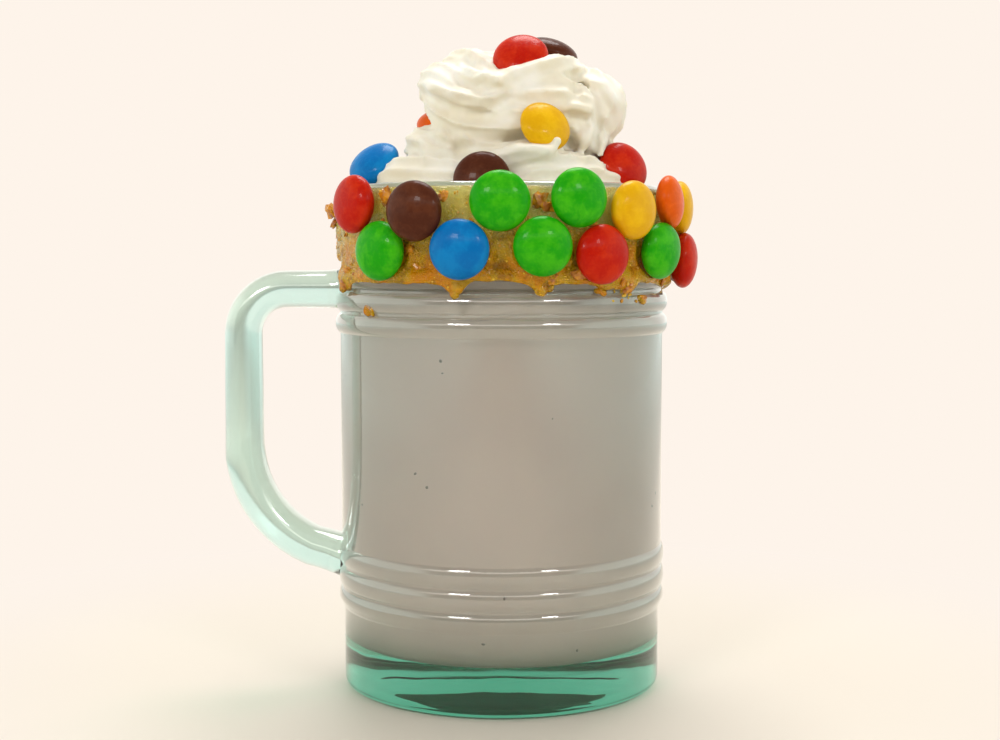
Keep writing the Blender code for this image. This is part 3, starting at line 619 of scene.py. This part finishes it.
# Creases drawn on the front of the cream, in millimetres: height of the crest, how far it runs out
# above and below, depth and place of the hollow beside it, and the line as (x, z) points.
HOLLOW_WIDTH = 1.5
CREASE_REACH = 8
CREASE_ENDS = 0.22
PUSH = 1.25
CREASES = (
    (2.6, 2.4, 0.9, 0.9, -2.4, ((-20.4, 148.1), (-17.4, 147.2), (-14.4, 145.7), (-12.3, 144.8),
     (-9.3, 144.7), (-7.5, 143.9), (-5.1, 143.0), (-2.1, 143.9), (-0.1, 145.7), (1.7, 147.0))),
    (1.9, 1.8, 0.7, 1.2, -1.7, ((-9.7, 152.0), (-7.6, 150.1), (-5.2, 149.2), (-2.8, 148.4),
     (-0.4, 147.2), (1.2, 146.8))),
    (-1.7, 2.4, 2.0, 0.0, 0.0, ((-13.0, 147.8), (-9.4, 147.0), (-5.2, 145.7), (-2.2, 146.2))),
    (-1.2, 2.6, 2.6, 0.0, 0.0, ((-16.8, 143.0), (-12.3, 141.0), (-6.3, 140.0), (-0.4, 140.7),
     (2.6, 143.0))),
    (1.0, 1.2, 2.4, 0.0, 0.0, ((-0.7, 149.7), (2.6, 150.6), (5.6, 151.6), (8.6, 152.8), (11.6, 154.0),
     (17.0, 155.1))),
    (-1.7, 1.5, 1.5, 0.0, 0.0, ((17.6, 153.4), (18.2, 149.5), (17.9, 146.0), (17.0, 143.0))),
    (1.5, 2.0, 0.9, 1.4, -2.0, ((15.1, 142.1), (18.1, 141.7), (20.5, 140.8), (22.3, 140.5))),
    (1.2, 0.9, 1.8, 1.6, 1.4, ((22.4, 140.7), (22.1, 137.7), (21.2, 134.7), (21.5, 132.0), (23.6, 130.7))),
    (1.0, 2.2, 0.8, 1.6, -1.5, ((-18.1, 138.0), (-15.8, 136.9), (-14.0, 135.8), (-11.6, 134.6),
     (-8.4, 134.3), (-3.3, 134.4), (1.1, 135.0), (4.4, 136.2))),
    (1.3, 1.4, 2.2, 1.2, 2.0, ((1.0, 132.6), (4.0, 132.6), (7.0, 131.9), (11.3, 131.4), (13.4, 131.6))),
    (1.4, 0.8, 2.2, 1.5, 1.5, ((12.0, 135.4), (12.8, 134.9), (15.1, 132.9), (17.2, 131.1), (18.3, 129.5))),
    (1.2, 0.8, 2.0, 1.2, 1.5, ((18.4, 129.6), (20.2, 130.2), (22.0, 129.8), (23.7, 128.3), (24.6, 126.0))),
    (0.9, 0.8, 1.6, 0.9, 1.6, ((-15.1, 136.6), (-12.7, 134.3), (-11.6, 131.4), (-11.0, 128.7))),
    (0.8, 1.6, 0.8, 0.8, -1.5, ((-22.1, 135.3), (-19.4, 134.2), (-18.0, 131.3), (-17.7, 128.3))),
    (1.0, 1.6, 1.0, 0.8, -1.8, ((-8.8, 155.9), (-6.4, 154.7), (-5.2, 152.6))),
    (0.9, 1.6, 1.0, 0.9, -1.7, ((20.5, 149.7), (24.2, 147.6), (27.2, 143.9), (28.5, 140.0))),
)


def crest_push(points, crease):
    """How far out a crease pushes each (x, z) point, all in millimetres."""
    height, above, below, hollow, hollow_at, line = crease
    nearest = np.full(len(points), 1e9)
    signed = np.zeros(len(points))
    along = np.zeros(len(points))
    spans = [math.dist(a, b) for a, b in zip(line, line[1:])]
    run = 0.0
    for (start, end), span in zip(zip(line, line[1:]), spans):
        way = (np.array(end) - start) / span
        local = points - start
        reach = np.clip(local @ way, 0, span)
        offset = local - reach[:, None] * way
        far = np.hypot(offset[:, 0], offset[:, 1])
        closer = far < nearest
        nearest[closer] = far[closer]
        side = np.sign(way[0] * local[:, 1] - way[1] * local[:, 0])
        signed[closer] = (far * side)[closer]
        along[closer] = (run + reach)[closer]
        run += span
    ends = np.clip(np.minimum(along, run - along) / (CREASE_ENDS * run), 0, 1) * 0.8 + 0.2
    crest = height * np.exp(-((signed / np.where(signed > 0, above, below)) ** 2))
    cut = hollow * np.exp(-(((signed - hollow_at) / HOLLOW_WIDTH) ** 2))
    return (crest - cut) * ends * (nearest < CREASE_REACH)


count = len(cream.data.vertices)
spots = np.zeros(count * 3)
facing = np.zeros(count * 3)
cream.data.vertices.foreach_get("co", spots)
cream.data.vertices.foreach_get("normal", facing)
spots = spots.reshape(-1, 3) * 1000
facing = facing.reshape(-1, 3)
push = PUSH * sum(crest_push(spots[:, [0, 2]], crease) for crease in CREASES)
push *= np.clip((-facing[:, 1] + 0.05) / 0.45, 0, 1) * np.clip((spots[:, 2] - 125.5) / 2.0, 0, 1)
slow = np.array([noise.noise(Vector(p) * 0.16) for p in spots])
quick = np.array([noise.noise(Vector(p) * 0.5) for p in spots])
ripple = slow * 0.45 + quick * 0.16
push += ripple * np.clip((spots[:, 2] - 124.5) / 2.0, 0, 1)
way = facing * 0.5 + np.array([0, -0.5, 0.08]) * (facing[:, 1] < 0)[:, None]
way /= np.linalg.norm(way, axis=1)[:, None]
cream.data.vertices.foreach_set("co", ((spots + way * push[:, None]) / 1000).ravel())
cream = melted("piped_cream", [cream], LAST_SKIN, 1)
cream_paint, wire, place, shader = finish("whipped_cream_skin")
airy = grain(place, 400, 4.0)
cloud = grain(place, 90, 3.0).ramp(0.35, 0.65)
height = Wire(wire.tree, place.node("ShaderNodeSeparateXYZ", None, {0: place}).socket.node.outputs[2])
# Painted shade: the cream is painted darker and yellower lower down, between about 144 mm and 128 mm; only
# the cloudy mottling is the cream's own tone.
shaded_low_tier = cloud.mix((0.75, 0.69, 0.55), (0.80, 0.755, 0.65))
high_tone = cloud.mix((0.79, 0.72, 0.57), (0.87, 0.83, 0.735))
feed(shader, "Base Color", height.ramp(0.128, 0.144).mix(shaded_low_tier, high_tone))
feed(shader, "Roughness", cloud * 0.12 + 0.42)
feed(shader, "Subsurface Weight", 0.2)
feed(shader, "Specular IOR Level", 0.25)
feed(shader, "Subsurface Radius", (1.0, 0.75, 0.45))
feed(shader, "Subsurface Scale", 0.0010)
relief(shader, airy, 0.00008)
cream.data.materials.append(cream_paint)
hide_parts("whipped_cream")
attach(cream, "root")


# Sweets: sugar-shelled chocolate lentils, all of one shape. One is modelled and copied,
# and each copy takes the size, place and tilt of its own solid.
SHELLS = {
    "red": ((0.46, 0.008, 0.001), (0.58, 0.028, 0.004)),
    "green": ((0.012, 0.32, 0.002), (0.06, 0.46, 0.006)),
    "blue": ((0.001, 0.14, 0.42), (0.004, 0.21, 0.52)),
    "yellow": ((0.72, 0.37, 0.002), (0.82, 0.47, 0.006)),
    "orange": ((0.68, 0.09, 0.002), (0.80, 0.13, 0.006)),
    "brown": ((0.07, 0.016, 0.006), (0.11, 0.03, 0.012)),
}
bpy.ops.mesh.primitive_uv_sphere_add(segments=56, ring_count=28, radius=0.5, location=(0, 0, 0))
lentil = bpy.context.object
lentil.name = "lentil"
bpy.ops.object.shade_smooth()
shell_paints = {}
for colour, (deep, bright) in SHELLS.items():
    paint, wire, place, shader = finish("sugar_shell_" + colour)
    blotch = grain(place, 230, 3.0, 0.6).ramp(0.40, 0.66)
    fine = grain(place, 1400, 2.0).ramp(0.45, 0.75)
    feed(shader, "Base Color", (blotch * 0.75 + fine * 0.25).mix(deep, bright))
    feed(shader, "Roughness", fine * 0.12 + 0.30)
    feed(shader, "Specular IOR Level", 0.05)
    feed(shader, "Coat Weight", 0.11)
    feed(shader, "Coat Roughness", 0.05)
    relief(shader, blotch * 0.6 + fine * 0.4, 0.00006)
    shell_paints[colour] = paint


def flat_way(mesh):
    """Middle, thin axis, width and thickness of a sweet's solid."""
    points = [v.co for v in mesh.vertices]
    corners = {tuple(round(c, 6) for c in p) for p in points}
    middle = sum((Vector(c) for c in corners), Vector()) / len(corners)
    spread = Matrix(((0, 0, 0), (0, 0, 0), (0, 0, 0)))
    for corner in corners:
        arm = Vector(corner) - middle
        for i in range(3):
            for j in range(3):
                spread[i][j] += arm[i] * arm[j]
    thin = Vector((0.3, 0.5, 0.8))
    inverse = spread.inverted()
    for _ in range(40):
        thin = (inverse @ thin).normalized()
    reach = [abs((Vector(c) - middle).dot(thin)) for c in corners]
    across = [((Vector(c) - middle) - thin * (Vector(c) - middle).dot(thin)).length for c in corners]
    return middle, thin, 2 * max(across), 2 * max(reach)


for node in sorted(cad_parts):
    colour = node.split("_")[1] if "_" in node else ""
    if colour not in SHELLS:
        continue
    middle, thin, width, depth = flat_way(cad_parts[node].data)
    sweet = lentil.copy()
    sweet.data = lentil.data.copy()
    sweet.name = "sweet_" + node
    scene.collection.objects.link(sweet)
    turn = thin.to_track_quat("Z", "Y").to_matrix().to_4x4()
    sweet.data.transform(Matrix.Translation(middle) @ turn @ Matrix.Diagonal((width, width, depth, 1)))
    sweet.data.materials.append(shell_paints[colour])
    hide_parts(node)
    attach(sweet, "root")
    "shell_" + colour
bpy.data.objects.remove(lentil)


# Glaze: honey-gold caramel brushed round the neck under the rim, which holds the sweets on. It is a
# skin of uneven depth with a wavy foot, clearer near the rim and darker and cloudier below. It is
# laid out as a sheet round the glass, and thickened outwards.
GLAZE_TOP = 0.1229
GLAZE_FOOT = 0.1008
GLAZE_OVER_HANDLE = 0.1056
HANDLE_SIDE = 20
HANDLE_EASE = 6
BELOW_HANDLE = 0.002
GLAZE_EDGE = 0.0015
SWEET_CENTRES = 0.0442
GLAZE_RUNS = (
    (-66, 5, 0.0020), (-50, 6, 0.0006), (-15, 3.4, 0.0034), (12.5, 4.5, 0.0020), (36, 6, 0.0018),
    (46, 3.5, 0.0024), (70, 6, 0.0010), (98, 5, 0.0030), (121, 4, 0.0020), (150, 5, 0.0034),
    (178, 7, 0.0016), (205, 4, 0.0038), (236, 5, 0.0022),
)
SWEET_HALF = 0.0068


def around(bearing, radius, z):
    """The point at this bearing in degrees (0 in front, 90 on the right), radius and height."""
    turn = math.radians(bearing)
    return Vector((radius * math.sin(turn), -radius * math.cos(turn), z))


def between(bearing_a, bearing_b):
    """Degrees from one bearing to another, the short way."""
    return (bearing_a - bearing_b + 180) % 360 - 180


def glaze_foot(bearing):
    """Height of the glaze's lower edge."""
    spot = around(bearing, 0.040, 0)
    edge = GLAZE_FOOT + 0.0010 * noise.noise(spot * 110) + 0.0004 * noise.noise(spot * 420)
    for centre, half, length in GLAZE_RUNS:
        edge -= length * math.exp(-((between(bearing, centre) / half) ** 2))
    aside = abs(between(bearing, -90))
    if aside < HANDLE_SIDE:
        share = min(1.0, (HANDLE_SIDE - aside) / HANDLE_EASE)
        start = GLAZE_FOOT - BELOW_HANDLE
        edge = max(edge, start + (GLAZE_OVER_HANDLE - start) * share)
    return edge


def glaze_depth(bearing, z, foot):
    """How thick the glaze is: thin at its edges, lumpy between them, and drawn up round each sweet."""
    inside = max(0.0, min(1.0, min(GLAZE_TOP - z, z - foot) / GLAZE_EDGE))
    spot = around(bearing, 0.042, z)
    depth = 0.0008 + 0.0006 * noise.noise(spot * 120)
    depth += 0.0003 * noise.noise(spot * 330)
    depth += 0.0002 * noise.noise(spot * 800)
    for sweet_bearing, sweet_z in sweet_spots:
        aside = math.radians(between(bearing, sweet_bearing)) * SWEET_CENTRES
        gap = math.hypot(aside, z - sweet_z) - SWEET_HALF
        if gap < 0.004:
            depth += 0.0011 * math.exp(-((gap / 0.0010) ** 2))
    return max(0.00010, depth * math.sqrt(1 - (1 - inside) ** 2))


sweet_spots = []
for node in sorted(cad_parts):
    if node.startswith("rim_") and node != "rim_sauce":
        low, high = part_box(node)
        middle = (low + high) / 2
        sweet_spots.append((math.degrees(math.atan2(middle.x, -middle.y)), middle.z))
GLAZE_STEPS = 440
GLAZE_ROWS = 52
GLAZE_DEEPEST = 0.0030
bpy.ops.mesh.primitive_grid_add(
    x_subdivisions=GLAZE_STEPS, y_subdivisions=GLAZE_ROWS, size=2, location=(0, 0, 0)
)
glaze = bpy.context.object
glaze.name = "caramel_glaze"
depths = glaze.vertex_groups.new(name="depth")
for vertex in glaze.data.vertices:
    bearing = 180 * vertex.co.x
    down = 0.5 - vertex.co.y / 2
    foot = glaze_foot(bearing)
    z = GLAZE_TOP + (foot - GLAZE_TOP) * (0.5 - 0.5 * math.cos(math.pi * down))
    depths.add([vertex.index], glaze_depth(bearing, z, foot) / GLAZE_DEEPEST, "REPLACE")
    vertex.co = around(bearing, wall_radius(z) - 0.00004, z)
only(glaze)
bpy.ops.object.mode_set(mode="EDIT")
bpy.ops.mesh.select_all(action="SELECT")
bpy.ops.mesh.remove_doubles(threshold=0.000002)
bpy.ops.mesh.normals_make_consistent(inside=False)
bpy.ops.object.mode_set(mode="OBJECT")
thicken = glaze.modifiers.new("thicken", "SOLIDIFY")
thicken.thickness = GLAZE_DEEPEST
thicken.offset = 1.0
thicken.vertex_group = "depth"
apply_all(glaze)
bpy.ops.object.shade_smooth()
glaze_paint, wire, place, shader = finish("honey_glaze")
height = Wire(wire.tree, place.node("ShaderNodeSeparateXYZ", None, {0: place}).socket.node.outputs[2])
patch = grain(place, 170, 4.0, 0.6).ramp(0.40, 0.62)
sparkle = place.node("ShaderNodeTexVoronoi", {"feature": "F1"}, {"Vector": place, "Scale": 2100.0})
low = height.ramp(0.1160, 0.1070)
streak = grain(place, 330, 5.0, 0.65).ramp(0.50, 0.66) * 0.7
honey = patch.mix((0.86, 0.49, 0.005), (0.58, 0.21, 0.001))
amber = streak.mix(low.mix((0.90, 0.64, 0.06), honey), (0.34, 0.12, 0.001))
feed(shader, "Base Color", amber)
feed(shader, "Roughness", patch * 0.15 + 0.12)
feed(shader, "Subsurface Weight", 0.2)
feed(shader, "Subsurface Radius", (1.0, 0.5, 0.15))
feed(shader, "Subsurface Scale", 0.0015)
feed(shader, "Specular IOR Level", 0.15)
feed(shader, "Coat Weight", 0.18)
feed(shader, "Coat Roughness", 0.04)
relief(shader, patch * 0.4 + (1 - sparkle) * 0.6, 0.0004)
syrup = {"Transmission Weight": 1.0, "IOR": 1.45, "Roughness": 0.18}
syrup["Base Color"] = low.mix((0.99, 0.93, 0.46), (0.94, 0.68, 0.05))
clear = wire.node("ShaderNodeBsdfPrincipled", None, syrup)
relief(clear.socket.node, patch * 0.3 + (1 - sparkle) * 0.7, 0.00025)
body = low * 0.42 + patch * (low * 0.26 + 0.24) + 0.05
lit = wire.node("ShaderNodeBsdfTransparent", None, {"Color": (0.94, 0.76, 0.30, 1.0)})
shadow = wire.node("ShaderNodeLightPath", out=1)
clear = wire.node("ShaderNodeMixShader", None, {0: shadow, 1: clear, 2: lit})
paint = Wire(wire.tree, shader.outputs[0])
surface = wire.node("ShaderNodeMixShader", None, {0: body, 1: clear, 2: paint})
wire.tree.links.new(surface.socket, wire.tree.nodes["Material Output"].inputs["Surface"])
glaze.data.materials.append(glaze_paint)
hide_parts("rim_sauce")
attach(glaze, "root")


# Crunch in the glaze: broken toffee flakes, drops of glaze and small nut crumbs, each kind one piece.
# One of each kind is modelled and copied, turned, and set into the glaze. Those that are strewn at
# random lie clear of the sweets, or just under their edges.
FLAKE_COUNT = 70
CRUMB_COUNT = 620
CLUSTER_COUNT = 34


def broken(name, divisions, size, seed, rough):
    """A small angular lump."""
    bpy.ops.mesh.primitive_ico_sphere_add(subdivisions=divisions, radius=0.5, location=(0, 0, 0))
    lump = bpy.context.object
    lump.name = name
    for vertex in lump.data.vertices:
        vertex.co *= 1 + rough * noise.noise(vertex.co * 3.1 + Vector((seed, 0, 0)))
    bpy.ops.transform.resize(value=size, center_override=(0, 0, 0))
    bpy.ops.object.transform_apply(scale=True)
    return lump


def in_the_open(bearing, z, margin):
    """True where no sweet covers the glaze."""
    for sweet_bearing, sweet_z in sweet_spots:
        aside = math.radians(between(bearing, sweet_bearing)) * SWEET_CENTRES
        if math.hypot(aside, z - sweet_z) < SWEET_HALF + margin:
            return False
    return True


def strewn(name, lump, spots, draw):
    """Copies of the lump at each (bearing, height, size, rise), joined to one piece."""
    copies = []
    for bearing, z, size, rise in spots:
        copy = lump.copy()
        copy.data = lump.data.copy()
        scene.collection.objects.link(copy)
        foot = glaze_foot(bearing)
        out = wall_radius(z) + rise
        if foot < z < GLAZE_TOP:
            out += glaze_depth(bearing, z, foot)
        tilt = Matrix.Rotation(draw.uniform(-0.7, 0.7), 4, "X")
        tilt = tilt @ Matrix.Rotation(draw.uniform(-0.7, 0.7), 4, "Y")
        spin = Matrix.Rotation(draw.uniform(0, 6.28), 4, "Z")
        face = around(bearing, 1, 0).to_track_quat("Z", "Y").to_matrix().to_4x4()
        place = Matrix.Translation(around(bearing, out, z)) @ face
        copy.data.transform(place @ tilt @ spin @ Matrix.Scale(size, 4))
        copies.append(copy)
    bpy.data.objects.remove(lump)
    only(copies[0])
    for copy in copies:
        copy.select_set(True)
    bpy.ops.object.join()
    piece = bpy.context.object
    piece.name = name
    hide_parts("rim_sauce")
    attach(piece, "root")
    return piece


draw = random.Random(7)
flake_spots = [
    (-40.5, 0.1208, 3.6, 0.0002), (-38.5, 0.1185, 2.4, 0.0), (12.3, 0.1196, 3.4, 0.0),
    (14.5, 0.1180, 2.4, 0.0), (-18.5, 0.1048, 2.2, 0.0), (24.0, 0.1028, 2.6, 0.0),
    (-84, 0.1178, 3.6, 0.0012), (-85, 0.1150, 2.6, 0.0005), (44.5, 0.0998, 2.4, 0.0),
    (41.5, 0.1008, 2.0, 0.0), (-66, 0.1000, 2.4, 0.0), (69, 0.1010, 2.4, 0.0),
    (53.5, 0.0968, 2.2, 0.0002),
]
while len(flake_spots) < FLAKE_COUNT:
    bearing = draw.uniform(-180, 180)
    z = draw.uniform(glaze_foot(bearing) + 0.0008, GLAZE_TOP - 0.0012)
    if in_the_open(bearing, z, -0.0008):
        flake_spots.append((bearing, z, draw.uniform(1.0, 2.6), -0.0002))
flakes = strewn("toffee_flakes", broken("flake", 2, (0.0013, 0.0010, 0.0005), 3, 0.8), flake_spots, draw)
toffee, wire, place, shader = finish("toffee")
patch = grain(place, 500, 3.0).ramp(0.38, 0.64)
feed(shader, "Base Color", patch.mix((0.66, 0.27, 0.014), (0.36, 0.10, 0.004)))
feed(shader, "Roughness", patch * 0.2 + 0.2)
feed(shader, "Coat Weight", 0.15)
relief(shader, patch, 0.0001)
flakes.data.materials.append(toffee)

drop_spots = [
    (35.6, 0.0990, 2.6, -0.0002), (33.5, 0.0994, 2.0, -0.0002), (53.5, 0.0967, 2.2, 0),
    (52.2, 0.0971, 1.6, 0), (-50.5, 0.0942, 2.4, -0.0003), (-48.5, 0.0940, 2.0, -0.0003),
    (-67, 0.0996, 2.4, 0), (-15.3, 0.0985, 2.6, 0), (120, 0.0970, 2.4, 0), (-14.2, 0.1000, 2.8, 0),
    (12.6, 0.0996, 2.8, 0), (15, 0.0999, 2.2, 0), (163, 0.0975, 2.6, 0), (206, 0.0962, 2.2, 0),
]
drops = strewn("glaze_drops", broken("drop", 3, (0.0012, 0.0011, 0.0006), 9, 0.25), drop_spots, draw)
drops.data.materials.append(glaze_paint)
only(drops)
bpy.ops.object.shade_smooth()

crumb_spots = []
while len(crumb_spots) < CRUMB_COUNT:
    bearing = draw.uniform(-180, 180)
    z = draw.uniform(glaze_foot(bearing) + 0.0002, GLAZE_TOP - 0.0004)
    if in_the_open(bearing, z, -0.0005):
        crumb_spots.append((bearing, z, draw.uniform(0.35, 1.0) ** 1.6, -0.0001))
for _ in range(CLUSTER_COUNT):
    crumb_spots.append((draw.gauss(44, 2.6), draw.gauss(0.0992, 0.0011), draw.uniform(0.5, 1.2), 0.0001))
crumbs = strewn("nut_crumbs", broken("crumb", 1, (0.0011, 0.0009, 0.0008), 5, 0.7), crumb_spots, draw)
nut, wire, place, shader = finish("nut_crumb")
patch = grain(place, 260, 3.0).ramp(0.38, 0.64)
feed(shader, "Base Color", patch.mix((0.82, 0.52, 0.04), (0.55, 0.24, 0.01)))
feed(shader, "Roughness", patch * 0.2 + 0.25)
feed(shader, "Coat Weight", 0.1)
relief(shader, patch, 0.00005)
crumbs.data.materials.append(nut)


camera.select_set(False)
